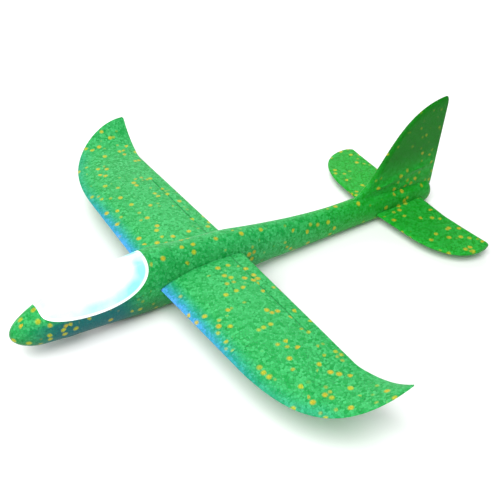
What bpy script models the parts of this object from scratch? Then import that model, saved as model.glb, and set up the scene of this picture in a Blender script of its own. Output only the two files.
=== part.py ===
"""Bead-foam hand-launch glider with a battery-lit canopy.

Metres, +Z up. X runs along the span, the nose points to -Y and the belly rests on Z = 0.
The fuselage with its fin, the wing and the tailplane are one foam moulding each. A light unit
(canopy base, tub, board, lamps, cells, switch and door) sits in a pocket under the canopy.
"""

import bmesh
import bpy
import numpy as np
from math import pi
from mathutils import Matrix, Vector

# ---- driving sizes --------------------------------------------------------------------------
LENGTH = 0.478                # nose tip to fin tip
SPAN = 0.482                  # tip to tip
GAP = 0.0003                  # clearance between touching pieces

NOSE_Y = -LENGTH / 2
TAIL_Y = LENGTH / 2           # aftmost point of the fin

# fuselage: stations from the nose (front) and from the tail (rear), each with the half-width,
# the height of the section's centre and its half-height
NOSE_LENGTH = 0.050
SECTION_POWER = 2.15
FRONT_STATIONS = (
    (0.000, 0.0178, 0.0250, 0.0195),
    (0.020, 0.0179, 0.0264, 0.0203),
    (0.035, 0.0178, 0.0288, 0.0212),
    (0.050, 0.0180, 0.0303, 0.0238),
    (0.080, 0.0192, 0.0309, 0.0264),
    (0.110, 0.0198, 0.0310, 0.0299),
    (0.130, 0.0199, 0.0309, 0.0315),
)
REAR_STATIONS = (
    (0.310, 0.0189, 0.0291, 0.0281),
    (0.270, 0.0175, 0.0277, 0.0249),
    (0.230, 0.0145, 0.0246, 0.0206),
    (0.190, 0.0123, 0.0208, 0.0180),
    (0.150, 0.0109, 0.0183, 0.0162),
    (0.110, 0.0104, 0.0172, 0.0157),
    (0.060, 0.0102, 0.0147, 0.0139),
    (0.010, 0.0097, 0.0126, 0.0120),
)
TAIL_CAP = 0.010              # length of the rounded tail end

# fin: leading edge as a cubic curve, given by distance ahead of the tail and height
FIN_EDGE = ((0.117, 0.0335), (0.077, 0.0520), (0.0738, 0.1184), (0.0150, 0.1215))
FIN_TIP_ROUND = 0.005
FIN_LEAN = 0.084              # how far the trailing edge leans back for each unit of height
FIN_ROOT_Z = 0.0220
FIN_HALF_THICK = 0.0034
FIN_EDGE_ROUND = 0.0060
FIN_TRAIL_ROUND = 0.0025
FILLET_POWER = 2.6            # lower blends the fin's root more softly

# wing
WING_FROM_NOSE = 0.1312       # leading edge at the centre
WING_CHORD = 0.0880           # at the centre
WING_LE_Z = 0.0308
WING_TE_Z = 0.0348
WING_CAMBER = 0.0030
WING_HALF_THICK = 0.0042
WING_STRAIGHT = 0.139         # half-span at which the leading edge starts to curve
WING_SWEEP = 0.0063           # how far the leading edge falls back by there
TRAIL_STRAIGHT = 0.188        # half-span at which the trailing edge kinks
TRAIL_TAPER = 0.0018
TIP_SWEEP = 0.0955            # tip corner behind the leading edge at the centre
TIP_LIFT = 0.0260             # height of the upturned tip over the flat wing
TIP_ROUND = 0.0028            # radius of the tip's rear corner
TIP_LIFT_START = 0.132
TIP_LIFT_POWER = 4.2
TIP_LIFT_SKEW = 0.18          # how much less the front of the tip curls than its rear corner
TIP_THICK_SHARE = 0.40

# tailplane
TAIL_CHORD = 0.0622
TAIL_TE_FROM_TAIL = 0.0262    # trailing edge ahead of the fin tip
TAIL_HALF_SPAN = 0.1083       # centre to tip corner
TAIL_Z = 0.0106
TAIL_HALF_THICK = 0.0022
TAIL_SLOT_SLACK = 0.0006      # extra room behind the trailing edge, so the tip passes

# canopy
CANOPY_FROM_NOSE = 0.0258
CANOPY_LENGTH = 0.0995
CANOPY_RIM_Z = 0.0317         # height of its edge at the rear
CANOPY_RIM_DROP = 0.0018      # how much lower the edge runs at the front
CANOPY_RIM_POWER = 2.05
CANOPY_WALL = 0.0010

# light unit
CELL_DIAMETER = 0.0116
CELL_LENGTH = 0.0054
CELL_COUNT = 3
CELL_FIT = 0.0003             # clearance round the cells in their bay
TUB_FROM_NOSE = 0.0640
TUB_BASE_Z = 0.0068
TUB_WALL = 0.0016
TUB_FLOOR = 0.0024
ROOM_CEILING = 0.0012          # wall between the cell bay and the room over it
BOARD_ROOM = 0.0046            # room for the leads under the board
BOARD_DROP = 0.0058            # board's underside below the tub's top
SCREW_BLOCK = 0.0060          # solid block between the cell bay and the switch bay
SWITCH_BAY = 0.0120
DOOR_THICK = 0.0012
DOOR_LEDGE = 0.0010
FLANGE_THICK = 0.0020
FLANGE_HALF_WIDTH = 0.0125
BASE_THICK = 0.0012
BASE_HALF_WIDTH = 0.0140
BASE_MARGIN = 0.0060          # how far the canopy base runs past the tub at each end
BOARD_THICK = 0.0010
BOARD_LEDGE = 0.0011
LED_RADIUS = 0.0025
LED_PITCH = 0.0120
BUTTON_RADIUS = 0.0022
BUTTON_TRAVEL = 0.0012
SCREW_RADIUS = 0.0010
WIRE_RADIUS = 0.0005

# ---- places worked out from the sizes above -------------------------------------------------
CELL_BAY_WIDTH = CELL_DIAMETER + 2 * CELL_FIT
CELL_Z = TUB_BASE_Z + DOOR_THICK + GAP + CELL_DIAMETER / 2
CONTACT_THICK = 0.0004
SPRING_LENGTH = 0.0022
CELL_STACK = CELL_COUNT * CELL_LENGTH + (CELL_COUNT - 1) * GAP
CELL_BAY = CELL_STACK + CONTACT_THICK + SPRING_LENGTH + 4 * GAP
TUB_Y0 = NOSE_Y + TUB_FROM_NOSE
BAY_Y0 = TUB_Y0 + TUB_WALL
BAY_Y1 = BAY_Y0 + CELL_BAY
SWITCH_Y0 = BAY_Y1 + SCREW_BLOCK
SWITCH_Y1 = SWITCH_Y0 + SWITCH_BAY
TUB_Y1 = SWITCH_Y1 + TUB_WALL
TUB_HALF_WIDTH = CELL_BAY_WIDTH / 2 + TUB_WALL
BAY_ROOF_Z = CELL_Z + CELL_DIAMETER / 2 + GAP
ROOM_FLOOR_Z = BAY_ROOF_Z + ROOM_CEILING
BOARD_Z0 = ROOM_FLOOR_Z + BOARD_ROOM
TUB_TOP_Z = BOARD_Z0 + BOARD_DROP
ROOM_HALF_WIDTH = CELL_BAY_WIDTH / 2
BOARD_HALF_WIDTH = ROOM_HALF_WIDTH - GAP
BOARD_Y0 = BAY_Y0 + 0.0030
BOARD_Y1 = SWITCH_Y1 - GAP
BASE_Z0 = TUB_TOP_Z + GAP
BASE_Z1 = BASE_Z0 + BASE_THICK
BASE_Y0 = TUB_Y0 - BASE_MARGIN
BASE_Y1 = TUB_Y1 + BASE_MARGIN
LED_Y = (BOARD_Y0 + BOARD_Y1) / 2
SWITCH_Y = (SWITCH_Y0 + SWITCH_Y1) / 2
FLOOR_TOP_Z = TUB_BASE_Z + TUB_FLOOR
BUTTON_COLLAR_Z = FLOOR_TOP_Z + GAP
BUTTON_COLLAR = 0.0010
BUTTON_TIP_Z = TUB_BASE_Z - 0.0016
COLLAR_RADIUS = BUTTON_RADIUS + 0.0007
DOOR_SCREW_Y = BAY_Y1 + SCREW_BLOCK / 2
DOOR_Y0 = BAY_Y0 - DOOR_LEDGE
DOOR_Y1 = SWITCH_Y0 - 0.0005
SWITCH_TOP_Z = FLOOR_TOP_Z + GAP + 0.0077
SCREW_HEAD_RADIUS = 1.9 * SCREW_RADIUS
SCREW_HEAD = 0.0012
BASE_SCREW_X = FLANGE_HALF_WIDTH - 0.0027
BASE_SCREW_YS = (TUB_Y0 + 0.0040, TUB_Y1 - 0.0040)
BOSS_RADIUS = 0.0023
BOSS_DEPTH = 0.0040

CANOPY_Y0 = NOSE_Y + CANOPY_FROM_NOSE
CANOPY_Y1 = CANOPY_Y0 + CANOPY_LENGTH
WING_LE_Y = NOSE_Y + WING_FROM_NOSE
TAIL_TE_Y = TAIL_Y - TAIL_TE_FROM_TAIL
FIN_END_Y = TAIL_Y - FIN_LEAN * (FIN_EDGE[3][1] - FIN_TIP_ROUND - FIN_ROOT_Z)


# ---- scene and materials --------------------------------------------------------------------
def clear_scene():
    for item in list(bpy.data.objects):
        bpy.data.objects.remove(item, do_unlink=True)


def make_collection(name):
    collection = bpy.data.collections.new(name)
    bpy.context.scene.collection.children.link(collection)
    return collection


def make_material(name, colour, roughness, metallic=0.0):
    material = bpy.data.materials.new(name)
    material.use_nodes = True
    shader = material.node_tree.nodes["Principled BSDF"]
    shader.inputs["Base Color"].default_value = (*colour, 1.0)
    shader.inputs["Roughness"].default_value = roughness
    shader.inputs["Metallic"].default_value = metallic
    return material


clear_scene()
PARTS = make_collection("foam_glider")
CUTTERS = make_collection("cutters")
FOAM = make_material("green_foam", (0.03, 0.48, 0.10), 0.85)
MILKY = make_material("milky_plastic", (0.90, 0.97, 1.00), 0.30)
WHITE = make_material("white_plastic", (0.85, 0.85, 0.83), 0.45)
BLACK = make_material("black_plastic", (0.03, 0.03, 0.03), 0.50)
BOARD_GREEN = make_material("circuit_board", (0.02, 0.22, 0.08), 0.40)
STEEL = make_material("bright_steel", (0.70, 0.70, 0.72), 0.30, 1.0)
LED_CLEAR = make_material("led_epoxy", (0.80, 0.92, 1.00), 0.15)
RED_PVC = make_material("red_wire", (0.60, 0.03, 0.02), 0.50)
BLACK_PVC = make_material("black_wire", (0.02, 0.02, 0.02), 0.50)
BLUE_PVC = make_material("blue_wire", (0.03, 0.10, 0.55), 0.50)


# ---- building blocks ------------------------------------------------------------------------
def add_object(name, mesh, material=None):
    """A part in the parts collection, or a cutter when it has no material."""
    item = bpy.data.objects.new(name, mesh)
    if material is None:
        CUTTERS.objects.link(item)
        item.hide_render = True
        item.display_type = "WIRE"
    else:
        PARTS.objects.link(item)
        mesh.materials.append(material)
    return item


def mesh_from_bmesh(name, bm):
    mesh = bpy.data.meshes.new(name)
    bm.to_mesh(mesh)
    bm.free()
    return mesh


def box(name, low, high, material=None, bevel=0.0):
    """A box between two corners."""
    bm = bmesh.new()
    size = Vector(high) - Vector(low)
    middle = (Vector(high) + Vector(low)) / 2
    place = Matrix.Translation(middle) @ Matrix.Diagonal((*size, 1.0))
    bmesh.ops.create_cube(bm, size=1.0, matrix=place)
    item = add_object(name, mesh_from_bmesh(name, bm), material)
    if bevel:
        edge = item.modifiers.new("edges", "BEVEL")
        edge.width = bevel
        edge.segments = 2
    return item


def rod(name, radius, start, end, material=None, sides=24):
    """A round bar from one point to another, with closed ends."""
    start = Vector(start)
    end = Vector(end)
    turn = (end - start).to_track_quat("Z", "Y").to_matrix().to_4x4()
    bm = bmesh.new()
    bmesh.ops.create_cone(
        bm, cap_ends=True, segments=sides, radius1=radius, radius2=radius,
        depth=(end - start).length, matrix=Matrix.Translation((start + end) / 2) @ turn,
    )
    mesh = mesh_from_bmesh(name, bm)
    mesh.shade_smooth()
    mesh.set_sharp_from_angle(angle=0.7)
    return add_object(name, mesh, material)


def turned(name, profile, place, material, sides=24):
    """A turned piece: (radius, height) pairs from its top axis point to its bottom one."""
    bm = bmesh.new()
    points = [bm.verts.new((radius, 0.0, height)) for radius, height in profile]
    for first, second in zip(points, points[1:]):
        bm.edges.new((first, second))
    item = add_object(name, mesh_from_bmesh(name, bm), material)
    item.location = place
    screw = item.modifiers.new("turn", "SCREW")
    screw.steps = sides
    screw.render_steps = sides
    screw.use_merge_vertices = True
    screw.merge_threshold = 0.00001
    screw.use_smooth_shade = False
    return item


def plate(name, outline, low_z, high_z, material=None):
    """A flat plate with the given (x, y) outline between two heights."""
    bm = bmesh.new()
    corners = [bm.verts.new((x, y, low_z)) for x, y in outline]
    bmesh.ops.contextual_create(bm, geom=corners)
    return finish_prism(name, bm, Vector((0, 0, high_z - low_z)), material)


def side_prism(name, outline, half_width, material=None):
    """A block with the given (y, z) outline, the same on both sides of the middle plane."""
    bm = bmesh.new()
    corners = [bm.verts.new((-half_width, y, z)) for y, z in outline]
    bmesh.ops.contextual_create(bm, geom=corners)
    return finish_prism(name, bm, Vector((2 * half_width, 0, 0)), material)


def finish_prism(name, bm, shift, material):
    """Extrudes the one face in bm by a vector and closes the block."""
    face = list(bm.faces)
    grown = bmesh.ops.extrude_face_region(bm, geom=face, use_keep_orig=True)
    moved = [v for v in grown["geom"] if isinstance(v, bmesh.types.BMVert)]
    bmesh.ops.translate(bm, verts=moved, vec=shift)
    bmesh.ops.recalc_face_normals(bm, faces=bm.faces)
    return add_object(name, mesh_from_bmesh(name, bm), material)


def rounded_outline(x0, x1, y0, y1, radius, steps=5):
    """A rectangle with round corners, as points."""
    points = []
    for corner, (cx, cy) in enumerate(
        ((x1 - radius, y1 - radius), (x0 + radius, y1 - radius),
         (x0 + radius, y0 + radius), (x1 - radius, y0 + radius))
    ):
        for step in range(steps + 1):
            angle = (corner + step / steps) * pi / 2
            points.append((cx + radius * np.cos(angle), cy + radius * np.sin(angle)))
    return points


def cut(target, *cutters):
    for cutter in cutters:
        boolean = target.modifiers.new("cut_" + cutter.name, "BOOLEAN")
        boolean.operation = "DIFFERENCE"
        boolean.object = cutter


def join(target, *others):
    for other in others:
        boolean = target.modifiers.new("join_" + other.name, "BOOLEAN")
        boolean.operation = "UNION"
        boolean.object = other


def grid_mesh(name, points, close_rows=False, mirror=False):
    """A surface from a grid of points (rows, columns, xyz), with coincident points merged."""
    rows, columns, _ = points.shape
    bm = bmesh.new()
    verts = [[bm.verts.new(points[r, c]) for c in range(columns)] for r in range(rows)]
    last = columns if close_rows else columns - 1
    for r in range(rows - 1):
        for c in range(last):
            d = (c + 1) % columns
            bm.faces.new((verts[r][c], verts[r + 1][c], verts[r + 1][d], verts[r][d]))
    bmesh.ops.remove_doubles(bm, verts=bm.verts, dist=0.000002)
    if mirror:
        other = bmesh.ops.duplicate(bm, geom=bm.verts[:] + bm.edges[:] + bm.faces[:])["geom"]
        flip = [v for v in other if isinstance(v, bmesh.types.BMVert)]
        bmesh.ops.scale(bm, vec=(-1, 1, 1), verts=flip)
        bmesh.ops.remove_doubles(bm, verts=bm.verts, dist=0.000002)
    bmesh.ops.recalc_face_normals(bm, faces=bm.faces)
    mesh = mesh_from_bmesh(name, bm)
    mesh.shade_smooth()
    mesh.set_sharp_from_angle(angle=0.9)
    return mesh


def wire(name, points, material):
    """An insulated wire through the given points."""
    curve = bpy.data.curves.new(name, "CURVE")
    curve.dimensions = "3D"
    curve.bevel_depth = WIRE_RADIUS
    curve.bevel_resolution = 2
    curve.use_fill_caps = True
    path = smooth_path(np.array(points), 5)
    spline = curve.splines.new("POLY")
    spline.points.add(len(path) - 1)
    for point, spot in zip(spline.points, path):
        point.co = (*spot, 1.0)
    curve.materials.append(material)
    item = bpy.data.objects.new(name, curve)
    PARTS.objects.link(item)
    return item


# ---- curves ---------------------------------------------------------------------------------
def smooth_line(knots, values, at):
    """A smooth curve through (knot, value) points, read at the places in at."""
    knots = np.asarray(knots, float)
    values = np.asarray(values, float)
    slopes = np.gradient(values, knots)
    k = np.clip(np.searchsorted(knots, at) - 1, 0, len(knots) - 2)
    step = knots[k + 1] - knots[k]
    t = np.clip((at - knots[k]) / step, 0, 1)
    return (
        (1 + 2 * t) * (1 - t) ** 2 * values[k]
        + t * (1 - t) ** 2 * step * slopes[k]
        + t * t * (3 - 2 * t) * values[k + 1]
        + t * t * (t - 1) * step * slopes[k + 1]
    )


def smooth_path(points, per_span):
    """A smooth curve in space through a few points."""
    knots = np.arange(len(points))
    at = np.linspace(0, len(points) - 1, per_span * (len(points) - 1) + 1)
    return np.stack([smooth_line(knots, points[:, i], at) for i in range(3)], axis=1)


def cubic(points, t):
    """A cubic Bezier curve at the values in t."""
    a, b, c, d = (np.asarray(p, float) for p in points)
    t = np.asarray(t, float)[:, None]
    return (1 - t) ** 3 * a + 3 * (1 - t) ** 2 * t * b + 3 * (1 - t) * t * t * c + t**3 * d


def round_edge(distance, radius):
    """Rises from 0 at an edge to 1 at the radius behind it, as a quarter circle."""
    inside = np.clip(distance / radius, 0, 1)
    return np.sqrt(np.clip(1 - (1 - inside) ** 2, 0, 1))


def ease(value):
    value = np.clip(value, 0, 1)
    return value * value * (3 - 2 * value)


# ---- fuselage and fin -----------------------------------------------------------------------
def body_section(y):
    """Half-width, centre height and half-height of the round body at each y."""
    front = [(NOSE_Y + s[0], *s[1:]) for s in FRONT_STATIONS]
    rear = [(TAIL_Y - s[0], *s[1:]) for s in REAR_STATIONS]
    table = np.array(front + rear)
    half_width, centre, half_height = (
        smooth_line(table[:, 0], table[:, i], y) for i in (1, 2, 3)
    )
    ends = round_edge(y - NOSE_Y, NOSE_LENGTH) * round_edge(FIN_END_Y - y, TAIL_CAP)
    return half_width * ends, centre, half_height * ends


def fin_top(y):
    """Height of the fin's edge over each y, before the fin is leaned back."""
    edge = cubic([(FIN_END_Y + FIN_TIP_ROUND * 2.0 - s[0], s[1]) for s in FIN_EDGE],
                 np.linspace(0, 1, 60))
    height = np.interp(y, edge[:, 0], edge[:, 1], left=0)
    past = np.clip(y - (FIN_END_Y - FIN_TIP_ROUND), 0, FIN_TIP_ROUND)
    return height - (FIN_TIP_ROUND - np.sqrt(FIN_TIP_ROUND**2 - past**2))


def fin_lean(y, z):
    """How far a point of the fin is pushed back so that its trailing edge leans."""
    return FIN_LEAN * np.maximum(z - FIN_ROOT_Z, 0) * ease((y - FIN_END_Y + 0.11) / 0.11)


def body_half_width(y, z, top):
    """Half-width of the fuselage and fin at each (y, z), with the fin faired into the body."""
    width, centre, height = body_section(y)
    rise = np.clip(np.abs(z - centre) / np.maximum(height, 1e-6), 0, 1)
    body = width * (1 - rise**SECTION_POWER) ** (1 / SECTION_POWER)
    start = ease((y - (FIN_END_Y - 0.125)) / 0.03) * ease((z - centre) / 0.010)
    slim = 1 - 0.35 * np.clip((z - FIN_ROOT_Z) / 0.1, 0, 1)
    fin = FIN_HALF_THICK * slim * start * round_edge((top - z) * 0.7, FIN_EDGE_ROUND)
    fin = fin * round_edge(FIN_END_Y - y, FIN_TRAIL_ROUND)
    both = (body**FILLET_POWER + fin**FILLET_POWER) ** (1 / FILLET_POWER)
    return np.where(fin > 0, both, body)


def fuselage_mesh(rows, columns):
    """One side of the fuselage as a grid of stations by heights, mirrored to a closed skin."""
    spread = np.linspace(0, 1, rows)
    nose = NOSE_Y + NOSE_LENGTH * (1 - np.cos(pi / 2 * np.linspace(0, 1, rows // 5)))
    middle = np.linspace(NOSE_Y + NOSE_LENGTH, FIN_END_Y - 0.012, rows - 2 * (rows // 5) + 2)[1:-1]
    tail = FIN_END_Y - 0.012 * (1 - np.sin(pi / 2 * np.linspace(0, 1, rows // 5)))
    y = np.concatenate([nose, middle, tail])[: len(spread)][:, None]
    _, centre, height = body_section(y)
    low = np.maximum(centre - height, 0.0)
    top = np.maximum(centre + height, fin_top(y))
    top[0] = low[0] = centre[0]
    rim = np.minimum(centre + height, top)
    split = 1 - 0.38 * ease((top - rim) / 0.02)
    across = np.concatenate([[0], np.linspace(0, 1, columns)])[None, :]
    below = (1 - np.cos(pi * np.clip(across / split, 0, 1))) / 2
    above = np.clip((across - split) / np.maximum(1 - split, 0.01), 0, 1)
    above = np.where(across == 1, 1, above * (1.5 - 0.5 * above))
    z = low + (rim - low) * below + (top - rim) * above
    y = np.broadcast_to(y, z.shape)
    x = body_half_width(y, z, np.broadcast_to(top, z.shape))
    x[:, 0] = 0
    x[:, -1] = 0
    x[0] = 0
    x[-1] = 0
    points = np.stack([x, y + fin_lean(y, z), z], axis=2)
    return grid_mesh("fuselage", points, mirror=True)


def canopy_rim(y, inset=0.0):
    """Height of the canopy's edge over each y: a long bath-tub curve in side view."""
    start = CANOPY_Y0 + inset
    end = CANOPY_Y1 - inset
    across = np.clip(np.abs(2 * (y - start) / (end - start) - 1), 0, 1)
    _, centre, height = body_section(y)
    low = CANOPY_RIM_Z - CANOPY_RIM_DROP * (end - y) / (end - start) + inset
    high = centre + height - 1.3 * CANOPY_WALL + inset
    rise = 1 - (1 - across**CANOPY_RIM_POWER) ** (1 / CANOPY_RIM_POWER)
    return low + (high - low) * rise


def canopy_window(name, inset):
    """Everything above the canopy's edge curve, between its two ends."""
    across = (1 - np.cos(pi * np.linspace(0, 1, 33))) / 2
    y = CANOPY_Y0 + inset + (CANOPY_LENGTH - 2 * inset) * across
    outline = list(zip(y, canopy_rim(y, inset)))
    outline += [(CANOPY_Y1 - inset, 0.09), (CANOPY_Y0 + inset, 0.09)]
    return side_prism(name, outline, 0.03)


def make_fuselage():
    body = add_object("fuselage", fuselage_mesh(76, 23), FOAM)
    gap = GAP
    pocket = box(
        "pocket", (-TUB_HALF_WIDTH - gap, TUB_Y0 - gap, -0.01),
        (TUB_HALF_WIDTH + gap, TUB_Y1 + gap, BASE_Z1),
    )
    flange_seat = box(
        "flange_seat", (-FLANGE_HALF_WIDTH - gap, TUB_Y0 - gap, TUB_TOP_Z - FLANGE_THICK - gap),
        (FLANGE_HALF_WIDTH + gap, TUB_Y1 + gap, 0.05),
    )
    base_seat = plate(
        "base_seat",
        rounded_outline(-BASE_HALF_WIDTH - gap, BASE_HALF_WIDTH + gap,
                        BASE_Y0 - gap, BASE_Y1 + gap, 0.006),
        TUB_TOP_Z, 0.05,
    )
    bosses = [
        rod(f"boss_hole_{x:+.3f}_{y:+.3f}", BOSS_RADIUS + gap,
            (x, y, TUB_TOP_Z - FLANGE_THICK - BOSS_DEPTH - gap), (x, y, 0.05), sides=16)
        for x in (-BASE_SCREW_X, BASE_SCREW_X) for y in BASE_SCREW_YS
    ]
    wing_slot = side_prism("wing_slot", wing_section_outline(gap), 0.05)
    tail_slot = side_prism("tail_slot", tail_section_outline(gap), 0.05)
    cut(body, canopy_window("canopy_seat", 0.0), base_seat, flange_seat, pocket, *bosses,
        wing_slot, tail_slot)
    return body


# ---- wing -----------------------------------------------------------------------------------
def wing_edges(count):
    """Leading and trailing edge points (x, y) from the centre to the tip, station by station."""
    half = SPAN / 2
    straight = np.linspace(0, WING_STRAIGHT, count // 2)
    lead_line = np.stack([straight, WING_LE_Y + WING_SWEEP * straight / WING_STRAIGHT], axis=1)
    start = lead_line[-1]
    tip = np.array((half - 0.0006, WING_LE_Y + TIP_SWEEP - TIP_ROUND))
    along = np.array((half + 0.0165, start[1] + 0.0080))
    t = (1 - np.cos(pi * np.linspace(0, 1, count - count // 2 + 1)[1:])) / 2
    lead = np.vstack([lead_line, cubic((start, along, tip, tip), t)])
    trail_y = WING_LE_Y + WING_CHORD
    trail_x = np.concatenate([straight, WING_STRAIGHT + (tip[0] - WING_STRAIGHT) * t])
    knee = ease((trail_x - TRAIL_STRAIGHT + 0.012) / 0.024)
    flat = trail_y - TRAIL_TAPER * trail_x / TRAIL_STRAIGHT
    kink = (tip[1] + TIP_ROUND - trail_y + TRAIL_TAPER) / (tip[0] - TRAIL_STRAIGHT)
    bent = trail_y - TRAIL_TAPER + kink * (trail_x - TRAIL_STRAIGHT)
    past = np.clip(trail_x - tip[0] + TIP_ROUND, 0, TIP_ROUND)
    bent = bent - TIP_ROUND + np.sqrt(TIP_ROUND**2 - past**2)
    trail = np.stack([trail_x, flat * (1 - knee) + bent * knee], axis=1)
    return lead, trail


def tip_lift(x, y):
    """Height added by the upturned tips, which curl most at their rear corners."""
    past = (np.abs(x) - TIP_LIFT_START) / (SPAN / 2 - TIP_LIFT_START)
    corner_y = WING_LE_Y + TIP_SWEEP
    past = np.clip(past + TIP_LIFT_SKEW * (y - corner_y) / TIP_SWEEP, 0, None)
    return TIP_LIFT * past**TIP_LIFT_POWER


def wing_profile(share, grow=0.0):
    """Camber height and half-thickness at each share of the chord."""
    camber = WING_LE_Z + (WING_TE_Z - WING_LE_Z) * share + WING_CAMBER * 4 * share * (1 - share)
    nose = np.sqrt(np.clip(1 - (1 - np.clip(share / 0.30, 0, 1)) ** 2, 0, 1))
    tail = 1 - 0.72 * np.clip((share - 0.30) / 0.70, 0, 1) ** 1.4
    end = round_edge(1 - share, 0.014)
    return camber, WING_HALF_THICK * nose * tail * end + grow


def wing_ring(count):
    """Chord shares once round the section, over the top and back underneath, and which side."""
    half = (1 - np.cos(pi * np.linspace(0, 1, count // 2 + 1))) / 2
    share = np.concatenate([half, half[-2:0:-1]])
    side = np.concatenate([np.ones(len(half)), -np.ones(len(half) - 2)])
    side[0] = 0
    side[len(half) - 1] = 0
    return share, side


def wing_section_outline(grow):
    """The centre section's (y, z) outline, grown by a clearance all round."""
    share, side = wing_ring(28)
    camber, thick = wing_profile(share)
    y = WING_LE_Y + WING_CHORD * share
    z = camber + side * thick
    return grown_outline(y, z, grow)


def grown_outline(y, z, grow):
    """A closed outline moved outwards by a clearance along its own normals."""
    dy = np.roll(y, -1) - np.roll(y, 1)
    dz = np.roll(z, -1) - np.roll(z, 1)
    length = np.hypot(dy, dz)
    return list(zip(y - grow * dz / length, z + grow * dy / length))


def make_wing():
    lead, trail = wing_edges(30)
    share, side = wing_ring(28)
    spot = lead[:, None, :] + (trail - lead)[:, None, :] * share[None, :, None]
    chord = np.linalg.norm(trail - lead, axis=1)[:, None]
    camber, thick = wing_profile(share[None, :])
    reach = np.clip((lead[:, 0:1] - WING_STRAIGHT) / (SPAN / 2 - WING_STRAIGHT), 0, 1)
    thin = (1 - (1 - TIP_THICK_SHARE) * reach) * (1 - 0.12 * lead[:, 0:1] / WING_STRAIGHT *
                                                  (reach == 0) - 0.12 * (reach > 0))
    thin = thin * round_edge(chord, 0.030)
    flat = camber[0, 0] + (camber - camber[0, 0]) * np.minimum(chord / WING_CHORD, 1)
    z = flat + side[None, :] * thick * thin + tip_lift(spot[:, :, 0], spot[:, :, 1])
    points = np.dstack([spot, z])
    return add_object("wing", grid_mesh("wing", points, close_rows=True, mirror=True), FOAM)


# ---- tailplane ------------------------------------------------------------------------------
def tail_edges(count):
    """Leading and trailing edge points (x, y) of the tailplane from its centre to its tip."""
    half = TAIL_HALF_SPAN
    lead_y = TAIL_TE_Y - TAIL_CHORD
    straight = 0.058
    x = np.linspace(0, straight, count // 2)
    lead_line = np.stack([x, lead_y + 0.0047 * x / straight], axis=1)
    start = lead_line[-1]
    t = np.linspace(0, 1, count - count // 2 + 1)[1:]
    trail_x = np.concatenate([x, straight + (half - straight) * t])
    trail_y = TAIL_TE_Y - 0.0035 * np.interp(trail_x, (0, 0.049, half), (0, 1, 0.08))
    trail = np.stack([trail_x, trail_y], axis=1)
    tip = trail[-1]
    controls = (start, (0.0955, start[1] + 0.0045), (half + 0.0105, tip[1] - 0.0335), tip)
    lead = np.vstack([lead_line, cubic(controls, t)])
    return lead, trail


def tail_thickness(y, lead_y, trail_y):
    """Half-thickness of the flat tailplane, rounded at both edges."""
    return TAIL_HALF_THICK * round_edge(y - lead_y, 0.0040) * round_edge(trail_y - y, 0.0022)


def tail_ring(lead_y, trail_y):
    """(y, z side) once round the section: edge roundings and flats, top then bottom."""
    front = 0.0040 * (1 - np.cos(pi / 2 * np.linspace(0, 1, 5)))
    back = 0.0022 * (1 - np.cos(pi / 2 * np.linspace(0, 1, 4)))
    middle = np.linspace(0.0040, trail_y - lead_y - 0.0022, 5)[1:-1]
    run = np.concatenate([front, middle, (trail_y - lead_y - back)[::-1]])
    y = lead_y + np.concatenate([run, run[-2:0:-1]])
    side = np.concatenate([np.ones(len(run)), -np.ones(len(run) - 2)])
    return y, side * tail_thickness(y, lead_y, trail_y)


def tail_section_outline(grow):
    """The tailplane's centre section with clearance, as a (y, z) outline."""
    y, z = tail_ring(TAIL_TE_Y - TAIL_CHORD, TAIL_TE_Y + TAIL_SLOT_SLACK)
    return grown_outline(y, TAIL_Z + z, grow)


def make_tailplane():
    lead, trail = tail_edges(22)
    y_unit, z_unit = tail_ring(TAIL_TE_Y - TAIL_CHORD, TAIL_TE_Y)
    share = (y_unit - y_unit.min()) / (y_unit.max() - y_unit.min())
    spot = lead[:, None, :] + (trail - lead)[:, None, :] * share[None, :, None]
    chord = np.linalg.norm(trail - lead, axis=1)[:, None]
    z = TAIL_Z + z_unit[None, :] * round_edge(chord, 0.012)
    points = np.dstack([spot, z])
    return add_object("tailplane", grid_mesh("tailplane", points, close_rows=True, mirror=True), FOAM)


# ---- canopy ---------------------------------------------------------------------------------
def make_canopy():
    """The blister: the body's own outer skin with a wall put inside it, cut off at its edge."""
    y = np.linspace(CANOPY_Y0 - 0.003, CANOPY_Y1 + 0.003, 45)[:, None]
    width, centre, height = body_section(y)
    start = np.arcsin(np.clip((CANOPY_RIM_Z - CANOPY_RIM_DROP - 0.003 - centre) / height, -1, 1))
    angle = start + (pi - 2 * start) * np.linspace(0, 1, 25)[None, :]
    z = centre + height * np.sin(angle)
    rise = np.clip(np.abs(np.sin(angle)), 0, 1)
    x = np.sign(np.cos(angle)) * width * (1 - rise**SECTION_POWER) ** (1 / SECTION_POWER)
    points = np.stack([x, np.broadcast_to(y, x.shape), z], axis=2)
    item = add_object("canopy", grid_mesh("canopy", points), MILKY)
    wall = item.modifiers.new("wall", "SOLIDIFY")
    wall.thickness = CANOPY_WALL
    wall.offset = -1
    trim = item.modifiers.new("trim", "BOOLEAN")
    trim.operation = "INTERSECT"
    trim.object = canopy_window("canopy_trim", GAP)
    return item


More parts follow.
